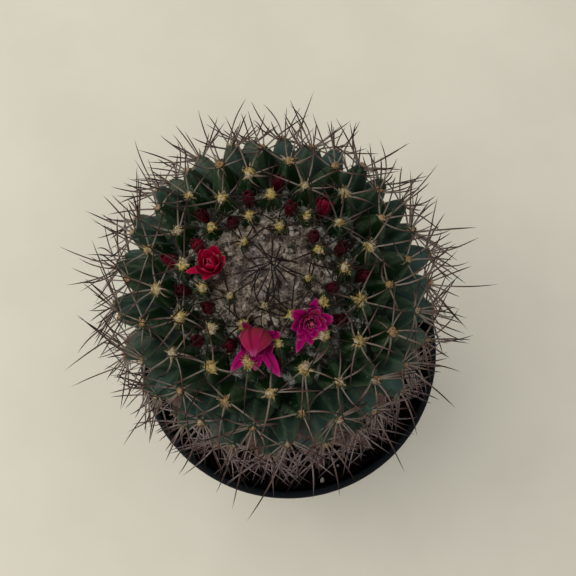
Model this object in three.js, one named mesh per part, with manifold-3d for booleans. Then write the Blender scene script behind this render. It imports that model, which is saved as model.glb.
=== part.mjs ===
// A globe cactus in a thin black nursery pot, in millimetres, +Z up.
// The origin is the middle of the pot's flat underside. The plant is looked down on from the front, -Y.
// The stem carries its tubercles in a golden-angle spiral. Number 0 is the youngest, by the growing point.
import * as THREE from 'three';
import { mergeVertices } from 'three/addons/utils/BufferGeometryUtils.js';
import Module from 'manifold-3d';

const wasm = await Module();
wasm.setup();

const { degToRad } = THREE.MathUtils;

// Pot
const rimRadius = 55;
const potHeight = 90;
const footRadius = 38.5;
const potWall = 1.2;
const floorThickness = 1.6;
const lipWidth = 2.6;
const lipThickness = 2.4;
const collarHeight = 17;
const collarStep = 1.8;
const edgeRound = 0.6;
const drainCount = 8;
const drainRadius = 4;
const drainCircle = 28;
const drainSides = 12;
const potSides = 40;

// Soil
const soilDrop = 9;
const soilBump = 0.7;
const soilSides = 24;
const gritCount = 18;
const gritSize = 1.7;

// Gap between pieces that rest in each other, and the length below which an edge is merged away
const seatGap = 0.35;
const shortestEdge = 0.03;

// Stem: the tubercles' tips lie on an upper and a lower half-spheroid round a leaning axis,
// whose centre, at the widest level, is given from the middle of the pot's rim
const tipRadius = 54;
const crownRise = 34.2;
const baseDrop = 53;
const stemCentre = new THREE.Vector3(-4.9, 11, 37.7);
const stemLean = new THREE.Vector2(-0.048, -0.043);
const crownDish = 3;
const neckRadius = 31;
const rootDepth = 34;
const coreSides = 18;

// Spiral of tubercles: a cell's area grows with age towards cellArea
const goldenAngle = degToRad(137.493);
const firstAzimuth = degToRad(10.4);
const cellArea = 328;
const cellGrowth = 51.8;
const startAge = 5.7;
const firstTubercle = 6;
const lastTubercle = 132;
const tubercleSides = 5;
const tubercleReach = 0.84;
const fleshDepth = 0.7;
const areoleShare = 0.17;
const tubercleLean = degToRad(16);

// Spines: each areole's fan, by the turn round the areole from its crown side and the full-grown length
const spineFan = [
  { turn: degToRad(8), length: 16 },
  { turn: degToRad(126), length: 27 },
  { turn: degToRad(236), length: 24 },
];
const spineRadius = 0.45;
const spineSides = 3;
const spineRoot = 0.7;
const spineSpread = degToRad(52);
const spineRaise = degToRad(12);
const spineTries = 5;
const youngSpineShare = 0.5;
const fullGrownSpine = 30;

// Crown felt with the youngest spines
const woolRadius = 10;
const woolThickness = 6;
const woolLumps = 0.7;
const woolSides = 12;
const woolSpines = 13;
const woolSpineLength = 8;

// Blooms stand in the axil above a numbered tubercle. Lean tips them round the stem and towards the crown.
// Opening is the angle from the bloom's axis at which the outer and the inner petals end.
const blooms = [
  {
    name: 'flower_crimson', color: 0xa3142c, above: 25, lean: [-7, 4],
    rise: 2, petals: [5, 4], petalLength: 8.5, opening: [36, 18],
  },
  {
    name: 'flower_front', color: 0xb01a63, above: 27, lean: [0, -6],
    rise: 3, petals: [7, 5], petalLength: 10, opening: [86, 34],
  },
  {
    name: 'flower_right', color: 0xb3127c, above: 24, lean: [-4, -19],
    rise: 3.5, petals: [8, 5], petalLength: 9.5, opening: [80, 44],
  },
];
const tubeRadius = 1.3;
const throatRadius = 3.4;
const petalWidth = 3.2;
const petalThickness = 0.8;

// Buds and spent blooms, by the tubercle whose axil they stand in
const budAxils = [26, 28, 29, 30, 31, 33, 34, 35, 36, 37, 38, 39, 40, 41, 42, 43, 44, 46];
const budRise = 1.6;
const budRadius = 2;
const stalkRadius = 1.1;
const budSides = 6;
const socketSides = 5;

// How far a bloom's or bud's foot is sunk into the flesh of its axil
const footDepth = 1;

// An axil is the hollow between a tubercle and the three that are these steps younger in the spiral
const axilSteps = [0, 8, 13, 21];

const zAxis = new THREE.Vector3(0, 0, 1);

// Always the same run of numbers from 0 to 1 for the same seed.
function randomFrom(seed) {
  let state = seed;
  return () => {
    state = (state + 0x6d2b79f5) | 0;
    let mixed = Math.imul(state ^ (state >>> 15), 1 | state);
    mixed = (mixed + Math.imul(mixed ^ (mixed >>> 7), 61 | mixed)) ^ mixed;
    return ((mixed ^ (mixed >>> 14)) >>> 0) / 4294967296;
  };
}

// A closed geometry as a solid that can be joined and cut.
function solidOf(geometry, matrix = new THREE.Matrix4()) {
  const bare = new THREE.BufferGeometry();
  bare.setAttribute('position', geometry.getAttribute('position').clone());
  bare.setIndex(geometry.index);
  bare.applyMatrix4(matrix);
  const merged = mergeVertices(bare, 1e-4);
  return new wasm.Manifold(new wasm.Mesh({
    numProp: 3,
    vertProperties: merged.getAttribute('position').array,
    triVerts: new Uint32Array(merged.index.array),
  }));
}

function geometryOf(solid) {
  const mesh = solid.getMesh();
  const geometry = new THREE.BufferGeometry();
  geometry.setAttribute('position', new THREE.BufferAttribute(new Float32Array(mesh.vertProperties), 3));
  geometry.setIndex(new THREE.BufferAttribute(new Uint32Array(mesh.triVerts), 1));
  geometry.computeVertexNormals();
  return geometry;
}

// Joins solids, merges edges too short to matter and drops any scrap that holds on to nothing.
function fuse(solids) {
  const bodies = wasm.Manifold.union(solids).simplify(shortestEdge).decompose();
  return bodies.reduce((largest, body) => (body.volume() > largest.volume() ? body : largest));
}

// Turns a profile of [radius, height] pairs round Z. It runs up the outside and back down inside.
function turned(profile, sides) {
  const points = profile.map(([radius, height]) => new THREE.Vector2(radius, height));
  return new THREE.LatheGeometry(points, sides).rotateX(Math.PI / 2);
}

// Skins a stack of rings with the same number of points. A last ring of one point closes to a tip.
function loft(rings) {
  const count = rings[0].length;
  const faces = [];
  for (let i = 1; i + 1 < count; i += 1) faces.push(0, i + 1, i);
  for (let k = 0; k + 1 < rings.length; k += 1) {
    const [low, high] = [k * count, (k + 1) * count];
    const pointed = rings[k + 1].length === 1;
    for (let i = 0; i < count; i += 1) {
      const j = (i + 1) % count;
      faces.push(low + i, low + j, pointed ? high : high + j);
      if (!pointed) faces.push(low + i, high + j, high + i);
    }
  }
  const last = (rings.length - 1) * count;
  for (let i = 1; i + 1 < rings.at(-1).length; i += 1) faces.push(last, last + i, last + i + 1);
  const coordinates = rings.flat().flatMap((point) => point.toArray());
  const geometry = new THREE.BufferGeometry();
  geometry.setAttribute('position', new THREE.Float32BufferAttribute(coordinates, 3));
  return geometry.setIndex(faces);
}

// An oval ring of points round a centre, anticlockwise about side x lift.
function ovalRing(centre, side, lift, sideRadius, liftRadius, count, turn = 0) {
  return Array.from({ length: count }, (_, i) => {
    const angle = turn + (2 * Math.PI * i) / count;
    return centre.clone()
      .addScaledVector(side, sideRadius * Math.cos(angle))
      .addScaledVector(lift, liftRadius * Math.sin(angle));
  });
}

// A straight tapering needle from its sunk root to its point.
function needle(root, direction, length, radius) {
  const side = direction.clone().cross(zAxis).normalize();
  const lift = direction.clone().cross(side);
  const tip = root.clone().addScaledVector(direction, length);
  return loft([ovalRing(root, side, lift, radius, radius, spineSides), [tip]]);
}

// The plant's own frame: Z is the stem's leaning axis, and the origin is at its widest level.
function plantFrame() {
  const axis = new THREE.Vector3(stemLean.x, stemLean.y, 1).normalize();
  const side = new THREE.Vector3(0, 1, 0).cross(axis).normalize();
  const centre = new THREE.Vector3(0, 0, potHeight).add(stemCentre);
  return new THREE.Matrix4().makeBasis(side, axis.clone().cross(side), axis).setPosition(centre);
}

const toWorld = plantFrame();
const toPlant = toWorld.clone().invert();
const soilLevel = potHeight - soilDrop;

// How much of the stem the cells up to number n cover.
function coveredArea(n) {
  const age = n + startAge;
  return cellArea * (age - cellGrowth * (1 - Math.exp(-age / cellGrowth)));
}

function cellSpacing(n) {
  return Math.sqrt(cellArea * (1 - Math.exp(-(n + startAge) / cellGrowth)));
}

// The surface on which the tips lie, by the angle from the growing point, which is sunken.
function tipSurface(polar) {
  const rise = Math.cos(polar) > 0 ? crownRise : baseDrop;
  const radius = tipRadius * Math.sin(polar);
  const height = rise * Math.cos(polar) - crownDish * Math.exp(-((radius / woolRadius) ** 2));
  const slope = Math.atan2(Math.cos(polar) / rise, Math.sin(polar) / tipRadius);
  return { radius, height, slope };
}

// A tubercle's tip with its directions: normal to the stem, side round it, and lift towards the crown.
function tubercleFrame(n) {
  const polar = Math.acos(Math.max(-1, 1 - coveredArea(n) / (2 * Math.PI * tipRadius ** 2)));
  const azimuth = firstAzimuth - n * goldenAngle;
  const { radius, height, slope } = tipSurface(polar);
  const outward = new THREE.Vector3(Math.cos(azimuth), Math.sin(azimuth), 0);
  const tip = outward.clone().multiplyScalar(radius).setZ(height);
  const normal = outward.clone().multiplyScalar(Math.cos(slope)).setZ(Math.sin(slope));
  const side = zAxis.clone().cross(outward);
  return { n, tip, normal, side, lift: normal.clone().cross(side), spacing: cellSpacing(n) };
}

// A tubercle leans towards the crown, more so on the stem's flank.
function leanOf({ normal, side, lift }) {
  const angle = tubercleLean * Math.min(1, 1.6 * Math.hypot(normal.x, normal.y));
  const axis = normal.clone().applyAxisAngle(side, -angle);
  return { axis, up: lift.clone().applyAxisAngle(side, -angle) };
}

// A soft-edged pyramid, keeled below, whose blunt tip is the areole.
function tubercle(frame) {
  const { tip, side, spacing } = frame;
  const { axis, up } = leanOf(frame);
  const ringAt = (depth, width) => {
    const centre = tip.clone().addScaledVector(axis, -depth * tubercleReach * spacing);
    return ovalRing(centre, side, up, width * spacing, width * spacing, tubercleSides, -Math.PI / 2);
  };
  return loft([ringAt(1.25, 0.64), ringAt(0.38, 0.42), ringAt(0, areoleShare)]);
}

// The flesh under the tubercles, the neck at soil level and the blunt root below it.
function coreProfile() {
  const neckLevel = -(stemCentre.z + soilDrop);
  const profile = [
    [0, neckLevel - rootDepth],
    [neckRadius * 0.3, neckLevel - rootDepth],
    [neckRadius * 0.72, neckLevel - rootDepth * 0.45],
    [neckRadius, neckLevel],
  ];
  const polarSteps = [118, 104, 92, 80, 68, 56, 44, 31, 18, 8];
  for (const polar of polarSteps.map(degToRad)) {
    const { radius, height, slope } = tipSurface(polar);
    const n = (2 * Math.PI * tipRadius ** 2 * (1 - Math.cos(polar))) / cellArea;
    const depth = fleshDepth * cellSpacing(n + cellGrowth * 0.4);
    profile.push([Math.max(radius - depth * Math.cos(slope), 2), height - depth * Math.sin(slope)]);
  }
  profile.push([0, profile.at(-1)[1]]);
  return profile;
}

// Black nursery pot: thin tapered wall, stepped collar with a flat lip, and drain holes in the floor.
function potSolid() {
  const collarBase = potHeight - collarHeight;
  const shoulder = rimRadius - lipWidth - collarStep;
  const inside = rimRadius - lipWidth;
  const profile = [
    [0, 0],
    [footRadius - edgeRound, 0],
    [footRadius, edgeRound],
    [shoulder, collarBase - collarStep],
    [shoulder + collarStep, collarBase],
    [rimRadius - 1, potHeight - lipThickness - edgeRound],
    [rimRadius, potHeight - lipThickness],
    [rimRadius, potHeight - edgeRound],
    [rimRadius - edgeRound, potHeight],
    [inside + edgeRound, potHeight],
    [inside, potHeight - edgeRound],
    [inside - potWall, collarBase + collarStep],
    [shoulder - potWall, collarBase - collarStep / 2],
    [footRadius - potWall, floorThickness + edgeRound],
    [footRadius - potWall - edgeRound, floorThickness],
    [0, floorThickness],
  ];
  const drains = Array.from({ length: drainCount }, (_, i) => {
    const angle = (2 * Math.PI * (i + 0.5)) / drainCount;
    const drill = new THREE.CylinderGeometry(drainRadius, drainRadius, 3 * floorThickness, drainSides);
    drill.rotateX(Math.PI / 2).translate(drainCircle * Math.cos(angle), drainCircle * Math.sin(angle), 0);
    return solidOf(drill);
  });
  return solidOf(turned(profile, potSides)).subtract(wasm.Manifold.union(drains));
}

// The soil fills the pot up to its uneven top, a gap clear of the wall, with a hole for the stem's foot.
function soilSolid() {
  const collarBase = potHeight - collarHeight;
  const clear = potWall + seatGap;
  const shoulder = rimRadius - lipWidth - collarStep - clear;
  const surfaceRadius = rimRadius - lipWidth - clear;
  const surface = [1, 0.94, 0.84, 0.72, 0.58, 0.3, 0].map((share) => [share * surfaceRadius, soilLevel]);
  const ground = turned([
    [0, floorThickness + seatGap],
    [footRadius - clear - edgeRound, floorThickness + seatGap],
    [footRadius - clear, floorThickness + seatGap + edgeRound],
    [shoulder, collarBase - collarStep / 2],
    [surfaceRadius - 0.2, collarBase + collarStep],
    ...surface,
  ], soilSides);
  const places = ground.getAttribute('position');
  for (let i = 0; i < places.count; i += 1) {
    const [x, y] = [places.getX(i), places.getY(i)];
    const swell = Math.sin(0.31 * x + 0.9) * Math.cos(0.27 * y - 0.4);
    const relief = swell + 0.4 * Math.sin(0.8 * x - 0.6 * y);
    if (places.getZ(i) > soilLevel - 0.01) places.setZ(i, soilLevel + soilBump * relief);
  }
  const random = randomFrom(11);
  const grit = [];
  while (grit.length < gritCount) {
    const angle = 2 * Math.PI * random();
    const radius = (surfaceRadius - 3) * Math.sqrt(random());
    const size = gritSize * (0.6 + 0.7 * random());
    const [x, y] = [radius * Math.cos(angle), radius * Math.sin(angle)];
    const fromStem = Math.hypot(x - stemCentre.x, y - stemCentre.y) - neckRadius;
    if (fromStem > 3 * gritSize) {
      const pebble = new THREE.IcosahedronGeometry(size, 0).rotateX(6 * angle).rotateZ(6 * size);
      grit.push(solidOf(pebble.scale(1, 0.85, 0.7).translate(x, y, soilLevel + 0.3 * size)));
    }
  }
  const widened = (radius) => (radius > 0 ? radius + seatGap : 0);
  const hole = coreProfile().map(([radius, height]) => [widened(radius), height - seatGap]);
  return fuse([solidOf(ground), ...grit]).subtract(solidOf(turned(hole, coreSides), toWorld));
}

// The felt that fills the sunken crown, with the youngest spines leaning in over it.
function woolSolid() {
  const level = crownRise - crownDish;
  const random = randomFrom(5);
  const felt = turned(woolProfile(0), woolSides);
  const places = felt.getAttribute('position');
  for (let i = 0; i < places.count; i += 1) {
    const [x, y, z] = [places.getX(i), places.getY(i), places.getZ(i)];
    if (z > level) places.setZ(i, z + woolLumps * Math.sin(1.1 * x + 1) * Math.cos(0.9 * y));
  }
  const spines = Array.from({ length: woolSpines }, (_, i) => {
    const angle = i * goldenAngle;
    const outward = new THREE.Vector3(Math.cos(angle), Math.sin(angle), 0);
    const root = outward.clone().multiplyScalar(woolRadius * (0.55 + 0.3 * random())).setZ(level - 1);
    outward.applyAxisAngle(zAxis, 0.5 * (random() - 0.5));
    const inward = outward.multiplyScalar(-0.75).setZ(0.66).normalize();
    return solidOf(needle(root, inward, woolSpineLength * (0.8 + 0.4 * random()), spineRadius));
  });
  return fuse([solidOf(felt), ...spines]);
}

function woolProfile(gap) {
  const level = crownRise - crownDish;
  return [
    [0, level - woolThickness - gap],
    [woolRadius * 0.6, level - woolThickness - gap],
    [woolRadius + gap, level - woolThickness * 0.5 - gap],
    [woolRadius * 0.95 + gap, level],
    [woolRadius * 0.6, level + 1],
    [0, level + 0.6],
  ];
}

// How far below the tips the flesh of the axil above tubercle n lies, with the foot of what grows there.
function axilDepth(n) {
  return fleshDepth * cellSpacing(n - axilSteps[1]) + footDepth;
}

// Where a bloom or bud stands: with its foot in the axil above tubercle n, leaning as given.
function axilMatrix(n, [aside, inward] = [0, 0]) {
  const around = axilSteps.map((step) => tubercleFrame(n - step));
  const mean = (key) => {
    const sum = around.reduce((total, frame) => total.add(frame[key]), new THREE.Vector3());
    return sum.divideScalar(around.length);
  };
  const normal = mean('normal').normalize();
  const side = zAxis.clone().cross(normal).normalize();
  const lift = normal.clone().cross(side);
  const root = mean('tip').addScaledVector(normal, -axilDepth(n));
  const axis = normal.clone()
    .addScaledVector(side, Math.tan(degToRad(aside)))
    .addScaledVector(lift, Math.tan(degToRad(inward)))
    .normalize();
  const across = lift.clone().cross(axis).normalize();
  return new THREE.Matrix4().makeBasis(across, axis.clone().cross(across), axis).setPosition(root);
}

// One petal: a thin tapering blade that curves outwards from the throat to its opening angle.
function petal(bearing, from, length, width, opening) {
  const outward = new THREE.Vector3(Math.cos(bearing), Math.sin(bearing), 0);
  const across = zAxis.clone().cross(outward);
  const centre = outward.clone().multiplyScalar(throatRadius - 1).setZ(from);
  const rings = [];
  let reached = 0;
  for (const [share, breadth] of [[0, 0.5], [0.4, 1], [0.75, 0.8], [1, 0]]) {
    const angle = degToRad(opening) * (0.25 + 0.75 * share);
    const along = outward.clone().multiplyScalar(Math.sin(angle)).setZ(Math.cos(angle));
    centre.addScaledVector(along, (share - reached) * length);
    reached = share;
    const face = along.clone().cross(across);
    const ring = ovalRing(centre, across, face, (breadth * width) / 2, petalThickness / 2, 4);
    rings.push(breadth ? ring : [centre.clone()]);
  }
  return loft(rings);
}

function bloomSolid({ above, rise, petals, petalLength, opening }) {
  const length = axilDepth(above) + rise;
  const tube = turned([
    [0, 0],
    [tubeRadius, 0],
    [tubeRadius, length * 0.45],
    [throatRadius, length],
    [throatRadius - 1.4, length],
    [0, length - 1.5],
  ], 6);
  const style = turned([[0, length - 3], [1.2, length - 3], [0.7, length + 2.5], [0, length + 3.2]], 5);
  const whorls = petals.flatMap((count, whorl) => Array.from({ length: count }, (_, i) => {
    const bearing = (2 * Math.PI * (i + whorl / 2)) / count;
    const share = 1 - 0.18 * whorl;
    const from = length - 1.5 + 0.6 * whorl;
    return solidOf(petal(bearing, from, petalLength * share, petalWidth * share, opening[whorl]));
  }));
  return fuse([solidOf(tube), solidOf(style), ...whorls]);
}

function budSolid(n) {
  const length = axilDepth(n) + budRise;
  return solidOf(turned([
    [0, 0],
    [stalkRadius, 0],
    [stalkRadius, length * 0.42],
    [budRadius, length * 0.72],
    [budRadius * 0.72, length * 0.88],
    [0, length],
  ], budSides));
}

// The plain hole round a bloom's tube or a bud: narrow where its foot is, and wide open above.
function socket(footRadius, topRadius, length) {
  return turned([
    [0, -seatGap],
    [footRadius + seatGap, -seatGap],
    [footRadius + seatGap, length * 0.36],
    [topRadius + seatGap, length * 0.66],
    [topRadius + seatGap, length * 1.4],
    [0, length * 1.4],
  ], socketSides);
}

const materials = {
  pot: { color: 0x14171a, roughness: 0.4 },
  soil: { color: 0x2c211b, roughness: 0.95 },
  stem: { color: 0x1f4030, roughness: 0.6 },
  wool: { color: 0x9a9188, roughness: 1 },
  bud: { color: 0x5c0f1c, roughness: 0.6 },
};

function named(name, solid, finish) {
  const material = new THREE.MeshStandardMaterial({ ...finish, metalness: 0 });
  const mesh = new THREE.Mesh(geometryOf(solid), material);
  mesh.name = name;
  return mesh;
}

// A mesh standing in an axil of the stem.
function planted(name, solid, finish, matrix) {
  const mesh = named(name, solid, finish);
  mesh.applyMatrix4(matrix);
  return mesh;
}

const pot = potSolid();
const soil = soilSolid();
const wool = woolSolid();
const bloomPlaces = blooms.map(({ above, lean }) => axilMatrix(above, lean));
const bloomSolids = blooms.map(bloomSolid);
const budPlaces = budAxils.map((n) => axilMatrix(n));
const budSolids = budAxils.map(budSolid);

const numbers = Array.from({ length: lastTubercle - firstTubercle + 1 }, (_, i) => firstTubercle + i);
const tubercles = numbers.map(tubercleFrame);

// The stem with its sockets, before the spines grow on it.
const woolSide = woolRadius + seatGap;
const woolSocket = [...woolProfile(seatGap).slice(0, 4), [woolSide, tipRadius], [0, tipRadius]];
const sockets = [
  solidOf(turned(woolSocket, woolSides)),
  ...blooms.map(({ above, rise }, i) => {
    return solidOf(socket(tubeRadius, throatRadius, axilDepth(above) + rise), bloomPlaces[i]);
  }),
  ...budAxils.map((n, i) => {
    return solidOf(socket(stalkRadius, budRadius, axilDepth(n) + budRise), budPlaces[i]);
  }),
];
const body = wasm.Manifold.union([
  solidOf(turned(coreProfile(), coreSides)),
  ...tubercles.map((frame) => solidOf(tubercle(frame))),
]).subtract(wasm.Manifold.union(sockets));

// Everything that a spine has to stay clear of.
const neighbours = wasm.Manifold.union([
  solidOf(geometryOf(pot), toPlant),
  solidOf(geometryOf(soil), toPlant),
  wool,
  ...bloomSolids.map((solid, i) => solidOf(geometryOf(solid), bloomPlaces[i])),
  ...budSolids.map((solid, i) => solidOf(geometryOf(solid), budPlaces[i])),
]);

// A spine spreads as far as it can clear of its neighbours, and is left out where it can't stand at all.
function spineOn(frame, { turn, length }) {
  const { n, tip, side } = frame;
  const { axis, up } = leanOf(frame);
  const sideways = up.clone().multiplyScalar(Math.cos(turn)).addScaledVector(side, Math.sin(turn));
  const reach = length * (youngSpineShare + (1 - youngSpineShare) * Math.min(1, n / fullGrownSpine));
  const margin = 2 * seatGap;
  const root = tip.clone().addScaledVector(axis, -spineRoot);
  for (let tries = 0; tries < spineTries; tries += 1) {
    const spread = spineSpread - tries * spineRaise;
    const direction = axis.clone()
      .multiplyScalar(Math.cos(spread))
      .addScaledVector(sideways, Math.sin(spread));
    const clearance = solidOf(needle(root, direction, reach + margin, spineRadius + margin));
    if (clearance.intersect(neighbours).isEmpty()) {
      return [solidOf(needle(root, direction, reach, spineRadius))];
    }
  }
  return [];
}

// Every other areole goes without the spine on its crown side.
const spines = tubercles.flatMap((frame) => {
  const fan = spineFan.slice(frame.n % 2);
  return fan.flatMap((spine) => spineOn(frame, spine));
});
const stem = fuse([body, ...spines]);

const plant = new THREE.Group();
plant.applyMatrix4(toWorld);
plant.add(named('cactus_stem', stem, materials.stem));
plant.add(named('crown_wool', wool, materials.wool));
blooms.forEach(({ name, color }, i) => {
  plant.add(planted(name, bloomSolids[i], { color, roughness: 0.6 }, bloomPlaces[i]));
});
budPlaces.forEach((place, i) => {
  const number = String(i + 1).padStart(2, '0');
  plant.add(planted(`bud_${number}`, budSolids[i], materials.bud, place));
});

const potted = new THREE.Group();
potted.add(named('pot', pot, materials.pot));
potted.add(named('soil', soil, materials.soil));
potted.add(plant);

export default potted;
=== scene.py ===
import math

import bpy
import numpy as np
from numpy.random import default_rng as seeded
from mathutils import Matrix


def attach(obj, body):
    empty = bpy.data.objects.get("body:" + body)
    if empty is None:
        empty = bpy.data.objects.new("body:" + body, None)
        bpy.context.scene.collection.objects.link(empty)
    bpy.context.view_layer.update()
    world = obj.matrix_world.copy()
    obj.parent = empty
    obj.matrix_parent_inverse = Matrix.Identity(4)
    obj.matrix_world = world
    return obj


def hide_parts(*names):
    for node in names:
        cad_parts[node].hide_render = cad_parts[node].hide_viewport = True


# A round cactus in a black nursery pot, looked down on from the front, which is -Y.
# Lengths are in millimetres and angles in degrees. makePiece turns them into metres.

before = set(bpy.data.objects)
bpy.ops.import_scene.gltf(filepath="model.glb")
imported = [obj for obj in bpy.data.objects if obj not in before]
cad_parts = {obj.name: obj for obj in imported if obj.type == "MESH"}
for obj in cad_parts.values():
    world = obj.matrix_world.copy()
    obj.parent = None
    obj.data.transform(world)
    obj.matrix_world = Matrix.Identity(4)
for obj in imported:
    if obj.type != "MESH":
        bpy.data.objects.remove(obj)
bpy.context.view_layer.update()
mm = 0.001
xAxis, yAxis, zAxis = np.eye(3)


class form(dict):
    # A dictionary whose values are also read as its attributes
    __getattr__ = dict.__getitem__


viewpoint = form(place=(0.0, -86.9, 500.9), pitch=14.98, lens=70.64, sensor=36.0)

pot = form(
    rimRadius=55.0, height=90.0, footRadius=38.5, wall=1.2, floor=1.6, lipWidth=2.6, lipThickness=2.4,
    collar=17.0, collarStep=1.8, edge=0.6, drains=8, drainRadius=4.0, drainCircle=28.0, columns=224,
)

soil = form(
    level=81.0, swell=0.7, gap=0.35, columns=260, rows=52, crumbs=460, fibres=190, fibreRadius=0.16,
    fibreReach=49, fibreSpare=4.0,
)

# The stem's own frame: its axis leans, and the origin is the middle of its widest level
stem = form(
    centre=(-4.9, 11.0, 127.7), lean=(-0.048, -0.043), tipRadius=54.0, crownRise=34.2, baseDrop=53.0,
    crownDish=3.0, dishRadius=10.0, neckRadius=31.0, rootDepth=34.0, neckLevel=-46.7, coreSink=0.7,
)

# The spiral of tubercles: number 0 is by the growing point, and each turns a golden angle on
spiral = form(
    goldenAngle=137.493, firstAzimuth=10.4, cellArea=328.0, cellGrowth=51.8, startAge=5.7, first=5,
    last=140, leanToCrown=16.0, axilSteps=(0, 8, 13, 21),
)


# Small maths on whole arrays

def unit(vectors):
    # Each vector divided by its own length
    return vectors / np.linalg.norm(vectors, axis=-1, keepdims=True)


def column(values):
    # A last axis of one, so that each number goes with a whole vector
    return np.asarray(values, float)[..., None]


def perShell(values):
    # A number for each shell, to spread over its rows and columns
    return column(column(values))


def perRow(rows):
    # 0 to 1 along the rows of every shell
    return np.linspace(0, 1, rows)[None, :, None]


def bearings(count, shift=0):
    # Even steps round a circle, in radians, moved on by this share of a step
    return 2 * np.pi * (np.arange(count) + shift) / count


def swung(first, second, angle):
    # The first direction swung towards the second: first cos a + second sin a
    return first * column(np.cos(angle)) + second * column(np.sin(angle))


def pointAt(radius, angle, height):
    # A point by its distance from Z, its bearing and its height
    return swung(xAxis, yAxis, angle) * column(radius) + zAxis * column(height)


def softNoise(points, size, seed=0):
    # Random values from -1 to 1 at the corners of cubes of this size, eased together in between
    scaled = points / size + 4096
    corner = np.floor(scaled).astype(np.int64)
    share = scaled - corner
    share = share * share * (3 - 2 * share)
    total = np.zeros(points.shape[:-1])
    for step in np.ndindex(2, 2, 2):
        key = (corner + step) @ np.array([73856093, 19349663, 83492791]) + 7919 * seed
        key = (key ^ (key >> 11)) * 1274126177 & 0x7FFFFFFF
        value = ((key ^ (key >> 15)) & 0xFFFF) / 32767.5 - 1
        total += value * np.where(step, share, 1 - share).prod(-1)
    return total


def noises(points, *layers):
    # A sum of noises, each with its height, size and seed
    return sum(height * softNoise(points, size, seed) for height, size, seed in layers)


def smoothStep(value, low, high):
    # 0 below low, 1 above high, eased in between
    share = np.clip((value - low) / (high - low), 0, 1)
    return share * share * (3 - 2 * share)


# Meshes: rings are arrays of shape (shell, row, column, 3), anticlockwise about the way the rows go

def skin(rings):
    # Four-sided faces between the rings of each shell, and a fan to the middle of each end ring
    count, rows, columns = rings.shape[:3]
    size = rows * columns
    ends = rings[:, (0, -1)].mean(axis=2)
    points = np.concatenate([rings.reshape(count, size, 3), ends], axis=1)
    grid = np.arange(size).reshape(rows, columns)
    after = np.roll(grid, -1, axis=1)
    quads = np.stack([grid[:-1], after[:-1], after[1:], grid[1:]], -1)
    foot = np.stack([0 * grid[0] + size, after[0], grid[0]], -1)
    head = np.stack([0 * grid[0] + size + 1, grid[-1], after[-1]], -1)
    shift = (np.arange(count) * (size + 2))[:, None, None]
    quads = (quads.reshape(-1, 4) + shift).reshape(-1, 4)
    fans = (np.concatenate([foot, head]) + shift).reshape(-1, 3)
    return points.reshape(-1, 3), quads, fans


def spreadMark(values, rings):
    # A mark for each point of the skin: as given on the rings, and the ring's mean at its pole
    full = np.broadcast_to(values, rings.shape[:3])
    ends = full[:, (0, -1)].mean(axis=2)
    return np.concatenate([full.reshape(len(full), -1), ends], axis=1).ravel()


def putUp(name, data, place=(0, 0, 0), turn=(0, 0, 0)):
    # A new object with this mesh, camera or light, its place in metres and its turn in radians
    thing = bpy.data.objects.new(name, data)
    thing.location, thing.rotation_euler = place, turn
    bpy.context.collection.objects.link(thing)
    return thing


def makePiece(name, groups, finish, nodes=()):
    # Joins groups of (rings, marks) into one mesh whose marks are point attributes
    points, quads, fans, start = [], [], [], 0
    for rings, _ in groups:
        shell, four, three = skin(rings)
        points.append(shell)
        quads.append(four + start)
        fans.append(three + start)
        start += len(shell)
    points, quads, fans = (np.concatenate(part) for part in (points, quads, fans))
    corners = np.concatenate([quads.ravel(), fans.ravel()]).astype(np.int32)
    starts = np.concatenate([np.arange(len(quads)) * 4, len(quads) * 4 + np.arange(len(fans)) * 3])
    mesh = bpy.data.meshes.new(name)
    mesh.vertices.add(len(points))
    mesh.vertices.foreach_set("co", (points * mm).astype(np.float32).ravel())
    mesh.loops.add(len(corners))
    mesh.loops.foreach_set("vertex_index", corners)
    mesh.polygons.add(len(starts))
    mesh.polygons.foreach_set("loop_start", starts.astype(np.int32))
    mesh.polygons.foreach_set("use_smooth", np.ones(len(starts), bool))
    mesh.update(calc_edges=True)
    mesh.validate()
    for key in sorted({key for _, marks in groups for key in marks}):
        values = np.concatenate([spreadMark(marks.get(key, 0.0), rings) for rings, marks in groups])
        attribute = mesh.attributes.new(key, "FLOAT", "POINT")
        attribute.data.foreach_set("value", values.astype(np.float32))
    mesh.materials.append(finish)
    piece = putUp(name, mesh)
    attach(piece, "root")
    if nodes:
        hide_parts(*nodes)
    print(f"{name}: {2 * len(quads) + len(fans)} triangles")
    return piece


def rounded(profile, reach, steps=5):
    # Each corner P becomes the parabola (1-t)^2 A + 2t(1-t) P + t^2 B between points on its two edges
    profile = np.asarray(profile, float)
    corner = profile[1:-1]
    back, ahead = profile[:-2] - corner, profile[2:] - corner
    before, after = (
        corner + edge * np.minimum(reach / np.linalg.norm(edge, axis=1, keepdims=True), 0.45)
        for edge in (back, ahead)
    )
    t = perRow(steps)
    arcs = (1 - t) ** 2 * before[:, None] + 2 * t * (1 - t) * corner[:, None] + t * t * after[:, None]
    return np.concatenate([profile[:1], arcs.reshape(-1, 2), profile[-1:]])


def turned(profile, columns):
    # A profile of radius and height carried round Z: (r cos a, r sin a, h)
    return pointAt(profile[:, :1], bearings(columns), profile[:, 1:])[None]


def strandPath(root, direction, length, bend, share):
    # Point at share s of each strand: root + L (s d + s^2 b)
    return root + length * (share * direction + share ** 2 * bend)


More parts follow.
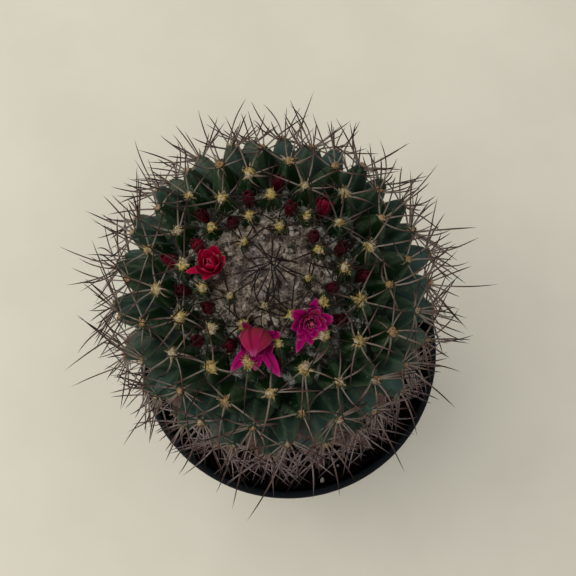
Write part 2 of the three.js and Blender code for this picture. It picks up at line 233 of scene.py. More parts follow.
def strands(root, direction, length, radius, bend, wave=0.0, rows=7, columns=5, taper=0.95, power=2.0):
    # A tube on each path, which sways by wave L sin(2 pi s + phase) across its bend. Its radius is
    # r (1 - taper s^power)
    share = perRow(rows)
    root, direction, bend = root[:, None], direction[:, None], bend[:, None]
    length, radius = (np.broadcast_to(size, len(root))[:, None, None] for size in (length, radius))
    sideways = unit(np.cross(direction, bend + 1e-4 * direction[..., ::-1] + 1e-5))
    phase = 6.283 * softNoise(root, 0.7, 3)[..., None]
    sway = wave * (np.sin(2 * np.pi * share + phase) - np.sin(phase))
    path = root + length * (share * direction + share ** 2 * bend + sway * sideways)
    along = unit(np.gradient(path, axis=1))
    lift = unit(np.cross(along, sideways))
    across = np.cross(lift, along)
    turn = swung(across[:, :, None], lift[:, :, None], bearings(columns))
    return path[:, :, None] + (radius * (1 - taper * share ** power))[:, :, None] * turn


def lumps(centre, axis, size, seed, rows=5, columns=8, roughness=0.2, taper=0.0):
    # Ellipsoids of three half-sizes, across, deep and high, dented by noise: p = c + (1 + k noise)
    # (x, y, z), and narrowed by 1 - taper h from foot, h = -1, to point, h = 1
    helper = np.where(np.abs(axis[:, :1]) < 0.8, xAxis, yAxis)
    across = unit(np.cross(helper, axis))
    height = column(np.linspace(-0.94, 0.94, rows))
    ring = np.sqrt(1 - height ** 2) * (1 - taper * height)
    local = pointAt(ring, bearings(columns), height)[None] * size[:, None, None]
    centre = centre[:, None, None]
    dent = 1 + roughness * softNoise(local / size.mean() + 40 * centre, 0.8, seed)
    basis = np.stack([across, np.cross(axis, across), axis], 1)
    return centre + np.einsum("nrci,nij->nrcj", local * dent[..., None], basis)


# The stem's spiral

def stemAxes():
    # The leaning axis last, after the two directions across it
    axis = unit(np.array([*stem.lean, 1.0]))
    side = unit(np.cross(yAxis, axis))
    return np.stack([side, np.cross(axis, side), axis])


plantAxes = stemAxes()


def toPot(points):
    # From the stem's leaning frame to the pot's upright one
    return np.array(stem.centre) + points @ plantAxes


def tipSurface(polar):
    # Half spheroids, tall above and deep below: r = R sin p, z = rise cos p, less a dish at the middle
    rise = np.where(np.cos(polar) > 0, stem.crownRise, stem.baseDrop)
    radius = stem.tipRadius * np.sin(polar)
    dish = stem.crownDish * np.exp(-(radius / stem.dishRadius) ** 2)
    slope = np.arctan2(np.cos(polar) / rise, np.sin(polar) / stem.tipRadius)
    return radius, rise * np.cos(polar) - dish, slope


def tipsAt(polar, azimuth):
    # Points of the tips' surface at a polar angle and a bearing, with their outward normals
    radius, height, slope = tipSurface(polar)
    return pointAt(radius, azimuth, height), swung(pointAt(1, azimuth, 0), zAxis, slope)


def tubercleFrames(number):
    # Cells up to number n cover A (a - g (1 - exp(-a/g))), a = n + start age: a cap as far out as
    # acos(1 - covered / 2 pi R^2). Each frame has its tip, outward normal, side, and lift to the crown
    number = np.asarray(number, float)
    age = number + spiral.startAge
    grown = 1 - np.exp(-age / spiral.cellGrowth)
    covered = spiral.cellArea * (age - spiral.cellGrowth * grown)
    polar = np.arccos(np.clip(1 - covered / (2 * np.pi * stem.tipRadius ** 2), -1, 1))
    azimuth = np.radians(spiral.firstAzimuth - number * spiral.goldenAngle)
    tip, normal = tipsAt(polar, azimuth)
    side = np.cross(zAxis, pointAt(1, azimuth, 0))
    lift = np.cross(normal, side)
    flatness = np.minimum(1, 1.6 * np.hypot(normal[..., 0], normal[..., 1]))
    lean = np.radians(spiral.leanToCrown) * flatness
    return form(
        tip=tip, normal=normal, side=side, lift=lift, axis=swung(normal, lift, lean),
        up=swung(lift, -normal, lean), spacing=np.sqrt(spiral.cellArea * grown),
    )


def axilFrames(number, aside=0.0, inward=0.0, sink=1.0):
    # The hollow between tubercles n, n-8, n-13 and n-21, with an axis tipped round the stem and inwards
    number = np.asarray(number)
    around = tubercleFrames(column(number) - np.array(spiral.axilSteps))
    normal = unit(around.normal.mean(-2))
    side = unit(np.cross(zAxis, normal))
    lift = np.cross(normal, side)
    depth = stem.coreSink * tubercleFrames(number - 8).spacing + sink
    aside, inward = (math.tan(math.radians(angle)) for angle in (aside, inward))
    axis = unit(normal + aside * side + inward * lift)
    across = unit(np.cross(lift, axis))
    root = around.tip.mean(-2) - normal * column(depth)
    return form(root=root, axis=axis, across=across, back=np.cross(axis, across), depth=depth)


# Finishes: a value is a socket, a number, a colour or the name of a mark

making = {}  # the material that new nodes go into, and its node tree


def join(socket, value):
    if isinstance(value, str):
        value = addNode("Attribute", "Fac", attribute_name=value)
    if isinstance(value, bpy.types.NodeSocket):
        making["tree"].links.new(value, socket)
    elif socket.type == "RGBA":
        socket.default_value = (*value, 1.0)
    else:
        socket.default_value = value


def addNode(kind, output, inputs=None, **settings):
    # One output of a new node with these settings, and with values joined to its inputs
    node = making["tree"].nodes.new("ShaderNode" + kind)
    for name, value in settings.items():
        setattr(node, name, value)
    for name, value in (inputs or {}).items():
        join(node.inputs[name], value)
    return node.outputs[output]


def startFinish(name, **settings):
    # A Principled material with these even settings on its shader's own sockets
    finish = bpy.data.materials.new(name)
    finish.use_nodes = True
    making.update(finish=finish, tree=finish.node_tree)
    shader = finish.node_tree.nodes["Principled BSDF"]
    for socket, value in settings.items():
        join(shader.inputs[socket.replace("_", " ")], value)


def endFinish(colour, relief=None, rough=None):
    # Joins the last values to the shader
    sockets = making["tree"].nodes["Principled BSDF"].inputs
    for name, value in (("Base Color", colour), ("Normal", relief), ("Roughness", rough)):
        if value is not None:
            join(sockets[name], value)
    return making["finish"]


def grain(size, detail=3.0, roughness=0.55, stretch=(1, 1, 1)):
    # Noise whose lumps are about this many millimetres across
    spot = addNode("TexCoord", "Object")
    spot = addNode("Mapping", "Vector", {"Vector": spot, "Scale": stretch})
    inputs = {"Vector": spot, "Scale": 1 / (size * mm), "Detail": detail, "Roughness": roughness}
    return addNode("TexNoise", "Fac", inputs)


def cells(size):
    # Distance to the nearest of scattered points about this many millimetres apart
    inputs = {"Vector": addNode("TexCoord", "Object"), "Scale": 1 / (size * mm)}
    return addNode("TexVoronoi", "Distance", inputs)


def between(value, low, high, start=0.0, end=1.0):
    # From start, where the value is low, eased to end, where it is high
    inputs = {"Value": value, "From Min": low, "From Max": high, "To Min": start, "To Max": end}
    return addNode("MapRange", "Result", inputs, interpolation_type="SMOOTHSTEP")


def patches(size, detail, low, high, start=0.0, end=1.0, roughness=0.55):
    # Noise eased between two of its values
    return between(grain(size, detail, roughness), low, high, start, end)


def combine(operation, first, second):
    return addNode("Math", "Value", {0: first, 1: second}, operation=operation)


def times(first, second):
    # One mask within another
    return combine("MULTIPLY", first, second)


def blend(share, first, second):
    return addNode("Mix", 2, {0: share, 6: first, 7: second}, data_type="RGBA")


def colourRamp(value, *stops):
    # Stops are (position, colour) pairs
    colour = addNode("ValToRGB", "Color", {"Fac": value})
    ends = colour.node.color_ramp.elements
    while len(ends) < len(stops):
        ends.new(0.5)
    for element, (position, tone) in zip(ends, stops):
        element.position, element.color = position, (*tone, 1.0)
    return colour


def bump(height, depth, strength=1.0, under=None):
    # Relief this many millimetres deep, over the relief under it
    inputs = {"Distance": depth * mm, "Strength": strength, "Height": height}
    if under:
        inputs["Normal"] = under
    return addNode("Bump", "Normal", inputs)


def potFinish():
    # Black moulded plastic: fine orange peel, dust on its upper faces and long faint scuffs
    startFinish("blackPlastic", IOR=1.5, Specular_IOR_Level=0.08)
    scuffs = grain(9, 5, 0.65, stretch=(1, 1, 0.12))
    dust = patches(7, 6, 0.5, 0.75, 0.0, 0.55, roughness=0.7)
    tone = blend(dust, (0.0022, 0.0038, 0.0052), (0.0045, 0.0055, 0.0065))
    rough = combine("ADD", between(scuffs, 0.35, 0.7, 0.24, 0.46), times(dust, 0.3))
    peel = bump(grain(0.9, 2), 0.035, 0.6)
    return endFinish(tone, bump(scuffs, 0.1, 0.4, peel), rough)


def soilFinish():
    # Damp dark compost, from near black to red-brown by the crumb
    startFinish("compost", Roughness=0.95, Specular_IOR_Level=0.03)
    tone = colourRamp(
        grain(2.2, 6, 0.7),
        (0.3, (0.0012, 0.0007, 0.0006)), (0.52, (0.0046, 0.0024, 0.002)), (0.8, (0.026, 0.014, 0.011)),
    )
    pale = times(between(cells(3.1), 0.0, 0.13, 1.0, 0.0), 0.4)
    tone = blend(pale, tone, (0.1, 0.08, 0.065))
    return endFinish(tone, bump(grain(0.8, 6, 0.75), 0.5))


def crumbFinish():
    # The mark tone runs from black crumbs over bark and dry straw to pale grit
    startFinish("crumbs", Roughness=0.95, Specular_IOR_Level=0.06)
    tone = colourRamp(
        "tone", (0.0, (0.001, 0.0007, 0.0006)), (0.45, (0.01, 0.006, 0.005)),
        (0.75, (0.13, 0.085, 0.065)), (1.0, (0.55, 0.5, 0.43)),
    )
    shade = patches(0.9, 5, 0.3, 0.7, 0.5, 1.25, roughness=0.7)
    tone = blend(shade, (0, 0, 0), tone)
    return endFinish(tone, bump(grain(0.35, 4, 0.7), 0.2))


def fleshFinish():
    # Dark green skin, corky brown on the oldest tubercles. The paler, greyer green along its ridges is
    # painted highlight, the near black towards the tubercles' feet is painted shade, and olive-grey patches
    # on older tubercles are painted light
    colours = form(
        face=(0.003, 0.0128, 0.0021), young=(0.008, 0.0225, 0.0042), bloom=(0.07, 0.122, 0.106),
        olivePaintedLight=(0.085, 0.1, 0.06), ridge=(0.06, 0.092, 0.05), scurf=(0.21, 0.25, 0.2),
        paintedValleyShade=(0.0009, 0.0022, 0.0006), cork=(0.19, 0.12, 0.098), darkCork=(0.046, 0.022, 0.018),
        redCork=(0.105, 0.048, 0.042),
    )
    startFinish("cactusSkin", IOR=1.4, Specular_IOR_Level=0.14)
    green = blend(patches(11, 3, 0.35, 0.65), colours["face"], colours["young"])
    older, oldest = between("age", 0.32, 0.66), between("age", 0.38, 0.6)
    covers = {
        "bloom": times(older, patches(16, 3, 0.38, 0.62, 0.15, 0.8)),
        # Olive-grey patches on older tubercles are painted light, in place of faces that catch the light
        "olivePaintedLight": times(oldest, patches(13, 2, 0.54, 0.64, 0.0, 0.8)),
        # The paler, greyer green along the ridges is painted highlight
        "ridge": times("ridge", patches(2.4, 4, 0.3, 0.62, 0.25, 0.8)),
        "scurf": times(patches(2.6, 5, 0.6, 0.67, 0.0, 0.75, 0.7), patches(12, 2, 0.48, 0.6)),
        # The last cover is painted shade: near black towards each tubercle's foot, deep between the
        # tubercles, and on the core
        "paintedValleyShade": between("depth", 0.55, 1.0),
    }
    for name, cover in covers.items():
        green = blend(cover, green, colours[name])
    old = blend(patches(1.5, 5, 0.36, 0.64, roughness=0.7), colours["darkCork"], colours["cork"])
    old = blend(patches(7, 3, 0.45, 0.62, 0.0, 0.7), old, colours["redCork"])
    cork = combine("ADD", "age", patches(4, 4, 0.3, 0.7, -0.06, 0.06))
    green = blend(between(cork, 0.74, 0.82), green, old)
    rough = patches(1.6, 4, 0.3, 0.7, 0.36, 0.58)
    fine = bump(grain(0.5, 3), 0.05, 0.6)
    return endFinish(green, bump(grain(2.6, 4, 0.6), 0.35, 0.5, fine), rough)


def spineFinish(name):
    # Horn: near black when young, then pinkish grey-brown, yellow at a young foot and darker at the point
    startFinish(name, IOR=1.45, Specular_IOR_Level=0.12)
    grown = colourRamp(
        "along", (0.0, (0.38, 0.26, 0.13)), (0.07, (0.262, 0.218, 0.166)), (0.3, (0.21, 0.166, 0.136)),
        (0.5, (0.135, 0.082, 0.064)), (0.66, (0.066, 0.034, 0.027)), (0.84, (0.01, 0.005, 0.004)),
    )
    old = colourRamp(
        "along", (0.0, (0.3, 0.222, 0.212)), (0.6, (0.35, 0.275, 0.265)), (1.0, (0.08, 0.056, 0.054)),
    )
    young = colourRamp(
        "along", (0.0, (0.16, 0.1, 0.03)), (0.16, (0.024, 0.013, 0.008)), (1.0, (0.006, 0.004, 0.004)),
    )
    tone = blend(between("age", 0.55, 0.95), grown, old)
    tone = blend(between("dark", 0.25, 0.75), tone, young)
    shade = patches(1.4, 4, 0.3, 0.7, 0.65, 1.0, roughness=0.7)
    tone = blend(shade, (0.015, 0.01, 0.008), tone)
    rough = patches(2.0, 3, 0.3, 0.7, 0.38, 0.62)
    return endFinish(tone, bump(grain(0.35, 3), 0.04), rough)


def woolFinish(name, young, old, gap):
    # Matted hair: the mark age fades it, and the gap colour is painted shade in the gaps between its locks
    startFinish(name, Roughness=0.95, Specular_IOR_Level=0.1)
    tone = blend(between("age", 0.3, 0.62), young, old)
    whole = between("age", 0.18, 0.4, 0.85, 0.22)
    locks = patches(3.2, 5, 0.43, 0.54, roughness=0.75)
    locks = combine("MAXIMUM", locks, times(whole, 0.32))
    shadedGaps = combine("MAXIMUM", patches(6.5, 3, 0.43, 0.55), whole)
    fine = patches(0.9, 4, 0.34, 0.62, 0.36, 1.0, roughness=0.75)
    # Painted shade: the gap colour darkens the wool between the locks
    tone = blend(times(times(locks, shadedGaps), fine), gap, tone)
    tone = blend("white", tone, (0.74, 0.68, 0.58))
    return endFinish(tone, bump(grain(0.45, 5, 0.7), 0.4))


def tuftFinish():
    # Felt of the areoles: yellow near the crown, then cream, and grey-orange on the oldest
    startFinish("areoleFelt", Roughness=0.95, Specular_IOR_Level=0.1)
    tone = colourRamp(
        "age", (0.0, (0.5, 0.38, 0.1)), (0.24, (0.48, 0.36, 0.13)), (0.36, (0.4, 0.25, 0.12)),
        (0.75, (0.33, 0.2, 0.13)),
    )
    tone = blend(patches(3.2, 2, 0.44, 0.62, 0.0, 0.75), tone, (0.49, 0.43, 0.31))
    shade = patches(0.9, 5, 0.36, 0.62, 0.1, 1.0, roughness=0.75)
    tone = blend(shade, (0.085, 0.045, 0.014), tone)
    return endFinish(tone, bump(grain(0.4, 4, 0.7), 0.3))


def petalFinish(name, inside, back, flush, edge, deep):
    # A petal: another tone on its back, paler rims and point, and a deeper stripe down the middle
    startFinish(name, Roughness=0.6, Specular_IOR_Level=0.06)
    behind = blend(between("along", 0.3, 0.8, 0.0, 0.9), back, flush)
    face = blend("back", inside, behind)
    stripe = between("rim", 0.02, 0.3, 0.85, 0.0)
    base = between("along", 0.05, 0.4, 0.6, 0.0)
    face = blend(combine("MAXIMUM", stripe, base), face, deep)
    face = blend(between("chance", 0.7, 0.9, 0.0, 0.6), face, back)
    rim = times(between("rim", 0.78, 1.0), patches(1.3, 3, 0.3, 0.7, 0.05, 0.6))
    tip = between("along", 0.8, 1.0, 0.0, 0.85)
    face = blend(combine("MAXIMUM", rim, tip), face, edge)
    return endFinish(face, bump(grain(0.5, 3, stretch=(1, 1, 0.3)), 0.06))


def budFinish():
    # Dark red scales with brown dry edges, a slight shine and dark patches of painted shade
    startFinish("budSkin", IOR=1.45, Specular_IOR_Level=0.16)
    tone = colourRamp(
        "chance", (0.0, (0.014, 0.0006, 0.0016)), (0.8, (0.088, 0.0014, 0.008)),
        (1.0, (0.17, 0.002, 0.017)),
    )
    tone = blend(between("rim", 0.6, 1.0, 0.0, 0.5), tone, (0.085, 0.026, 0.022))
    # Dark patches of painted shade over the scales
    tone = blend(patches(1.5, 4, 0.45, 0.7, 0.0, 0.6), tone, (0.018, 0.002, 0.004))
    rough = patches(0.8, 3, 0.3, 0.7, 0.25, 0.55)
    return endFinish(tone, bump(grain(0.4, 3), 0.08), rough)


def stamenFinish():
    startFinish("stamens", Roughness=0.5)
    tone = colourRamp(
        "tone", (0.0, (0.22, 0.004, 0.07)), (0.45, (0.36, 0.03, 0.09)), (0.6, (0.46, 0.06, 0.13)),
        (1.0, (0.36, 0.14, 0.08)),
    )
    speckles = patches(0.6, 3, 0.3, 0.7, 0.7, 1.0)
    return endFinish(blend(speckles, (0.12, 0.02, 0.03), tone))


# Pieces

def makeCamera():
    data = bpy.data.cameras.new("fromAboveFront")
    data.lens = viewpoint.lens
    data.sensor_width = viewpoint.sensor
    place = np.array(viewpoint.place) * mm
    bpy.context.scene.camera = putUp("fromAboveFront", data, place, (math.radians(viewpoint.pitch), 0, 0))


def potProfile():
    height, wall, edge, step = (pot[key] for key in ("height", "wall", "edge", "collarStep"))
    rim, foot, floor = pot.rimRadius, pot.footRadius, pot.floor
    collarBase, lipBase = height - pot.collar, height - pot.lipThickness
    inside = rim - pot.lipWidth
    shoulder = inside - step
    return [
        [1, 0], [11, 0], [11.6, 0.4], [13.2, 0.4], [13.8, 0], [foot, 0], [shoulder, collarBase - step],
        [shoulder + step, collarBase], [rim - 1, lipBase - edge], [rim, lipBase], [rim, height],
        [inside, height], [inside - wall, collarBase + step], [shoulder - wall, collarBase - step / 2],
        [foot - wall, floor], [1, floor],
    ]


def makePot():
    # A lathe of the whole wall, with the drain holes cut through its floor
    shell = turned(rounded(potProfile(), 0.8, 6), pot.columns)
    piece = makePiece("nurseryPot", [(shell, {})], potFinish(), ["pot"])
    middle = pointAt(pot.drainCircle, bearings(pot.drains, 0.5), 0)
    radius = pot.drainRadius
    drill = turned(np.array([[radius, -3.0], [radius, 5.0]]), 40) + middle[:, None, None]
    cutter = makePiece("drill", [(drill, {})], piece.data.materials[0])
    cut = piece.modifiers.new("drains", "BOOLEAN")
    cut.operation = "DIFFERENCE"
    cut.object = cutter
    drained = bpy.data.meshes.new_from_object(piece.evaluated_get(bpy.context.evaluated_depsgraph_get()))
    piece.modifiers.remove(cut)
    piece.data = drained
    bpy.data.objects.remove(cutter)
    drained.shade_smooth()


def soilTop(x, y):
    # Two slow waves, as in the part, with crumbs of noise on them
    slow = np.sin(0.31 * x + 0.9) * np.cos(0.27 * y - 0.4) + 0.4 * np.sin(0.8 * x - 0.6 * y)
    spot = np.stack([x, y, 0 * x], -1)
    return soil.level + soil.swell * slow + (noises(spot, (0.8, 3.6, 1), (0.45, 1.5, 2)) - 0.3)


def coreProfile(gap=0.0):
    # The flesh under the tubercles: root, neck and body, each further out or down by the gap
    neck, root, radius = stem.neckLevel, stem.rootDepth, stem.neckRadius
    low = neck - root
    foot = [[1.5, low], [radius * 0.3, low], [radius * 0.72, neck - root * 0.45], [radius, neck]]
    polar = np.radians([118, 104, 92, 80, 68, 56, 44, 31, 18, 8])
    reach, height, slope = tipSurface(polar)
    number = 2 * np.pi * stem.tipRadius ** 2 * (1 - np.cos(polar)) / spiral.cellArea
    depth = stem.coreSink * tubercleFrames(number + 0.4 * spiral.cellGrowth).spacing
    body = np.stack([np.maximum(reach - depth * np.cos(slope), 2), height - depth * np.sin(slope)], -1)
    return np.concatenate([np.array(foot), body]) + np.array([gap, -gap])


def soilRings():
    # Up the pot's wall, in over the top, whose rows blend the two circles, and down round the root
    wall, columns = pot.wall + soil.gap, soil.columns
    inside = pot.rimRadius - pot.lipWidth
    foot, floor = pot.footRadius - wall, pot.floor + soil.gap
    rise = [[inside - pot.collarStep - wall, 72.0], [inside - wall - 0.2, 75.0], [inside - wall, 80.4]]
    outer = turned(rounded([[1, floor], [foot, floor], *rise], 0.6), columns)[0]
    hole = toPot(turned(coreProfile(soil.gap)[:4][::-1], columns)[0])
    share = np.linspace(0, 1, soil.rows)[:, None, None]
    top = outer[-1] * (1 - share) + hole[0] * share
    top[..., 2] = soilTop(top[..., 0], top[..., 1])
    return np.concatenate([outer, top, hole[1:]])[None]


def scatterOnSoil(count, random, spare=1.5):
    # Points of the ring between wall and stem, at the height of the soil, from six tries for each
    angle = random.uniform(0, 2 * np.pi, 6 * count)
    inside = pot.rimRadius - pot.lipWidth - pot.wall - spare
    radius = inside * np.sqrt(random.uniform(0.2, 1, 6 * count))
    x, y = radius * np.cos(angle), radius * np.sin(angle)
    clear = np.hypot(x - stem.centre[0], y - stem.centre[1]) > stem.neckRadius + spare
    x, y = x[clear][:count], y[clear][:count]
    return np.stack([x, y, soilTop(x, y)], -1)


# The one pale grain at the front: its place, half-sizes and tone
paleGrain = form(place=(12.6, -48.0, 83.0), size=(1.0, 0.8, 0.7), tone=1.0)


def makeSoil():
    random = seeded(31)
    makePiece("potSoil", [(soilRings(), {})], soilFinish(), ["soil"])
    spots = scatterOnSoil(soil.crumbs, random)
    size = random.uniform(0.5, 1.7, (len(spots), 1)) * random.uniform(0.6, 1.2, (len(spots), 3))
    chips = np.arange(len(spots)) % 4 == 0
    size[chips] *= [1.7, 1.0, 0.4]
    tilt = unit(zAxis + 0.5 * random.normal(size=spots.shape))
    tone = np.where(random.random(len(spots)) < 0.02, 0.85, random.uniform(0.0, 0.55, len(spots)))
    spots[0], size[0], tone[0] = paleGrain.place, paleGrain.size, paleGrain.tone
    grit = lumps(spots + 0.25 * zAxis, tilt, size, 8, 5, 7, 0.35)
    spots = scatterOnSoil(soil.fibres, random, soil.fibreSpare)
    heading = random.uniform(0, 2 * np.pi, len(spots))
    direction = pointAt(1, heading, random.uniform(-0.06, 0.1, len(spots)))
    bend = 0.3 * random.normal(size=spots.shape) * [1, 1, 0.1]
    length = random.uniform(3, 10, len(spots))
    reach = spots + length[:, None] * (direction + bend)
    inside = np.hypot(reach[:, 0], reach[:, 1]) < soil.fibreReach
    spots, direction, length, bend = (part[inside] for part in (spots, direction, length, bend))
    fibres = strands(spots + 0.7 * zAxis, direction, length, soil.fibreRadius, bend, 0.02, 6, 4, 0.6)
    straw = random.uniform(0.35, 0.72, (len(spots), 1, 1))
    groups = [(grit, {"tone": perShell(tone)}), (fibres, {"tone": straw})]
    makePiece("soilCrumbs", groups, crumbFinish(), ["soil"])


flesh = form(columns=32, rows=16, foot=1.36, areole=0.25, base=1.1, swell=0.78, keel=0.13, relief=0.16)


def fleshRings():
    # Half the way to each neighbour makes a cell: r(a) = (sum (cos(a - b) / half)^p)^(-1/p), round at the
    # tip (small p) and angled at the foot (large p). Its width is areole + (base - areole) t^swell
    random = seeded(5)
    number = np.arange(spiral.first, spiral.last + 1)
    frames = tubercleFrames(number)
    tip, side, up, spacing = (frames[key] for key in ("tip", "side", "up", "spacing"))
    steps = np.array([-34, -26, -21, -13, -8, -5, 5, 8, 13, 21, 26, 34])
    offset = tubercleFrames(np.maximum(number[:, None] + steps, 0)).tip - tip[:, None]
    sideways, upward = ((offset * way[:, None]).sum(-1) for way in (side, up))
    half, bearing = np.hypot(sideways, upward) / 2, np.arctan2(upward, sideways)
    angle = bearings(flesh.columns) - np.pi / 2
    nearness = np.maximum(np.cos(angle[None, :, None] - bearing[:, None]), 1e-3) / half[:, None]
    t = np.linspace(1, 0, flesh.rows) ** 1.5
    power = (8 + 24 * t ** 0.6)[None, :, None]
    cell = (nearness[:, None] ** power[..., None]).sum(-1) ** (-1 / power)
    width = flesh.areole + (flesh.base - flesh.areole) * t ** flesh.swell
    keel = np.exp(-((np.angle(np.exp(1j * (angle + np.pi / 2)))) / 0.3) ** 2)
    radius = cell * width[None, :, None] * (1 + flesh.keel * keel * (t * (1 - t) * 4)[:, None])
    ridge = smoothStep(cell / cell.mean(-1, keepdims=True), 1.0, 1.12) + keel
    # A dome of three more rings closes the tip under its tuft
    dome = np.radians([62, 34, 10])
    radius = np.concatenate([radius, radius[:, -1:] * np.sin(dome)[:, None]], axis=1)
    depth = np.concatenate([flesh.foot * t, -0.045 * np.cos(dome) ** 0.8])
    t = np.concatenate([t, 0 * dome])
    ridge = np.concatenate([ridge, np.repeat(0 * ridge[:, -1:], len(dome), axis=1)], axis=1)
    wobble = 0.05 * random.normal(size=(len(number), 2, 1))
    tilted = unit(frames.axis + wobble[:, 0] * side + wobble[:, 1] * up)
    centre = tip[:, None] - tilted[:, None] * (depth * column(spacing))[..., None]
    turn = swung(side[:, None, None], up[:, None, None], angle)
    rings = centre[:, :, None] + radius[..., None] * turn
    dents = flesh.relief * softNoise(rings, 3.6, 4)[..., None]
    rings = rings + dents * turn * np.minimum(1, 4 * t)[:, None, None]
    marks = {"depth": t[:, None], "ridge": np.clip(ridge, 0, 1), "age": perShell(number / spiral.last)}
    return toPot(rings), marks


# The foot's dried tubercles: three rings, each with its count, the height of its points, how far out they
# stand from the stem's middle and from the pot's, and their half-width
dryRings = [
    form(count=34, height=(95.0, 100.0), stemReach=(50.0, 55.0), potReach=48.0, half=4.6),
    form(count=37, height=(89.0, 93.0), stemReach=(51.0, 57.0), potReach=47.5, half=4.4),
    form(count=34, height=(83.5, 86.5), stemReach=(54.0, 60.0), potReach=47.5, half=3.8),
]


def dryTubercles():
    # From each root on the stem's core to its point: arrays of roots, points and half-widths
    random = seeded(83)
    parts = []
    for ring in dryRings:
        count = ring.count
        way = pointAt(1, bearings(count, random.uniform(-0.25, 0.25, count)), 0)
        height = random.uniform(*ring.height, count)
        middle = np.array(stem.centre) * [1, 1, 0] + zAxis * column(height)
        # The reach along this bearing at which the pot's own radius would be potReach less a few tenths
        limit = ring.potReach - random.uniform(0, 3, count)
        toward = (middle * way)[..., :2].sum(-1)
        room = -toward + np.sqrt(toward ** 2 + limit ** 2 - (middle[..., :2] ** 2).sum(-1))
        reach = np.minimum(random.uniform(*ring.stemReach, count), room)
        half = ring.half * random.uniform(0.8, 1.15, count)
        parts.append((middle + way * 27 + zAxis * 3, middle + way * column(reach), half))
    return (np.concatenate(part) for part in zip(*parts))


def makeFlesh():
    finish = fleshFinish()
    root, point, half = dryTubercles()
    way = unit(point - root)
    size = np.stack([half, 0.85 * half, np.linalg.norm(point - root, axis=-1) / 2], -1)
    dry = lumps((root + point) / 2, way, size, 19, 13, 16, 0.28, 0.42)
    core = rounded(coreProfile(), 5.0, 5)
    body = turned(core, 96)
    body = body + 0.3 * softNoise(body, 4.0, 6)[..., None] * unit(body * [1, 1, 0.2])
    age = 0.6 + 0.4 * smoothStep(-core[:, 1], 22, 32)
    # The core's depth mark of 0.9 gives it most of the painted shade of the valleys
    groups = [fleshRings(), (toPot(body), {"depth": 0.9, "age": age[None, :, None]})]
    makePiece("cactusFlesh", groups, finish, ["cactus_stem"])
    makePiece("driedTubercles", [(dry, {"depth": 0.3, "age": 1.0})], finish, ["cactus_stem"])


# Each areole's fan: turn round it from the crown side, full length, spread from its axis, the share of
# areoles that have it, and the number of the youngest and the oldest of them
spineFan = [
    (4, 16, 48, 0.95, 6, 140), (92, 17.5, 62, 0.98, 6, 140), (-88, 17.5, 62, 0.98, 6, 140),
    (182, 20.8, 61, 1.0, 6, 140), (140, 15.5, 66, 0.78, 6, 140), (-135, 15.5, 66, 0.78, 6, 140),
    (48, 14, 56, 0.55, 6, 110), (-52, 14, 56, 0.55, 6, 110), (114, 16, 52, 0.8, 56, 104),
    (-112, 16, 52, 0.8, 56, 104), (155, 13, 44, 0.8, 60, 104), (-160, 14, 70, 0.8, 60, 140),
    (65, 14, 60, 0.7, 60, 104), (-60, 14, 60, 0.7, 60, 104),
]
spine = form(
    radius=0.275, young=0.265, first=6, last=140, rows=9, sides=5, curve=0.18, tries=6, lift=11.0, power=5.0,
    wave=0.004, bloomRoom=5.0, onDry=4, dryLength=(9.0, 17.0), dryRadius=0.26,
)
# A spine keeps outside these: the lip's and wall's radii with a hair to spare, and the soil's top
potRoom = form(
    lip=(50.9, 56.2), lipTop=0.9, foot=38, wallTop=87, wall=49.6, slope=0.14, bend=75, soil=(52, 82.6),
)


def hitsPot(points):
    # True where a point is within a hair of the pot's wall or lip, or down in the soil
    across, height = np.hypot(points[..., 0], points[..., 1]), points[..., 2]
    (lipIn, lipOut), (soilOut, soilHigh) = potRoom.lip, potRoom.soil
    lip = (across > lipIn) & (across < lipOut) & (height < pot.height + potRoom.lipTop)
    wall = (across > potRoom.foot) & (across < lipOut) & (height < potRoom.wallTop)
    wall &= across > potRoom.wall - potRoom.slope * (potRoom.bend - height)
    return lip | wall | ((height < soilHigh) & (across < soilOut))


def crossesBloom(points):
    # True where a point, in the stem's frame, is over an open bloom's throat
    crossed = np.zeros(points.shape[:-1], bool)
    for bloom in blooms:
        frames = axilFrames(bloom.above, *bloom.lean)
        local = points - frames.root
        height = local @ frames.axis
        aside = np.linalg.norm(local - height[..., None] * frames.axis, axis=-1)
        crossed |= (aside < spine.bloomRoom) & (height > frames.depth + bloom.rise - 2)
    return crossed


def drySpines():
    # Short spines that stand out all ways from the dried tubercles' points
    random = seeded(87)
    root, point, _ = dryTubercles()
    way = np.repeat(unit(point - root), spine.onDry, axis=0)
    foot = np.repeat(point, spine.onDry, axis=0) - 0.8 * way
    turn = random.uniform(0, 2 * np.pi, len(foot))
    across = unit(np.cross(way, zAxis))
    angle = np.radians(random.uniform(35, 88, len(foot)))
    direction = unit(swung(way, swung(across, np.cross(across, way), turn), angle) + 0.25 * zAxis)
    length = random.uniform(*spine.dryLength, len(foot))
    bend = 0.06 * random.normal(size=foot.shape)
    path = strandPath(foot[:, None], direction[:, None], perShell(length), bend[:, None], perRow(15))
    clear = ~hitsPot(path).any(1)
    radius = spine.dryRadius * random.uniform(0.75, 1.2, len(foot))
    foot, direction, length, radius, bend = (part[clear] for part in (foot, direction, length, radius, bend))
    rings = strands(foot, direction, length, radius, bend, spine.wave, spine.rows, 4, 0.92, spine.power)
    dark = perShell(0.8 * (random.random(clear.sum()) < 0.12))
    return rings, {"along": perRow(spine.rows), "age": 1.0, "dark": dark}


